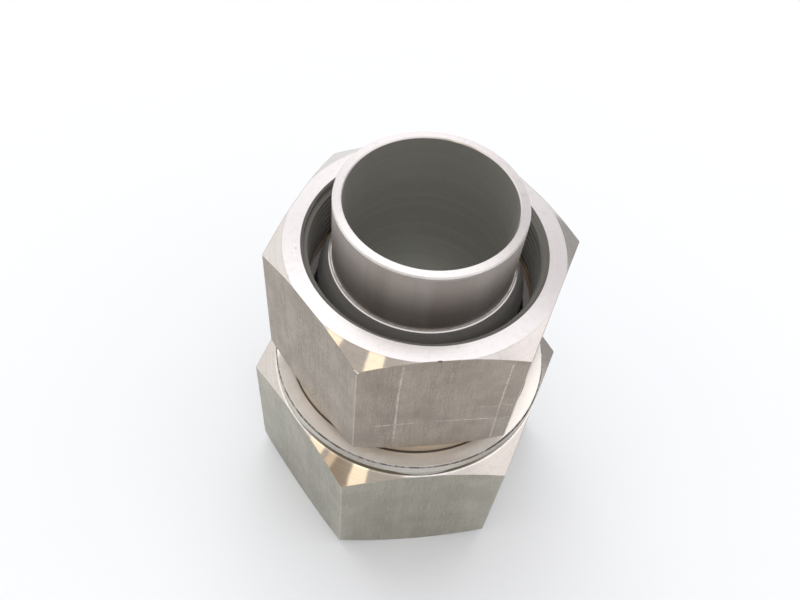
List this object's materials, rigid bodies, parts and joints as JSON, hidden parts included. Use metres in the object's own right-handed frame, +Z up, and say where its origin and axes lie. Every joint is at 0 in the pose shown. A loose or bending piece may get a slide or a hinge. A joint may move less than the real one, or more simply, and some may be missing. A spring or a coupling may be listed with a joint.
{
  "type": "tube adapter fitting",
  "caption": "Steel tube adapter: hexagon body with pipe port below, round collar and plain tube stub above, with swaged ferrules and a loose hexagon nut on the stub.",
  "frame": {"origin": "centre of the pipe port's mouth, on the flat foot that the fitting stands on", "axes": "+Z up along the bore, out of the tube stub; -Y square to a flat of the body's hexagon; +X towards one of its corners"},
  "size_m": [0.0622, 0.054, 0.0788],
  "materials": {
    "body_steel": "fine turned and milled stainless steel, satin",
    "nut_steel": "satin stainless steel with light scratches and small handling dents",
    "ferrule_steel": "smooth turned stainless steel"
  },
  "bodies": {
    "body": {"adapter_body": "body_steel", "front_ferrule": "ferrule_steel", "back_ferrule": "ferrule_steel"},
    "nut": {"nut": "nut_steel"}
  },
  "joints": [
    {"name": "nut_turn", "type": "hinge", "parent": "body", "child": "nut", "pos_m": [0, 0, 0.042], "axis": [0, 0, 1], "continuous": true}
  ]
}
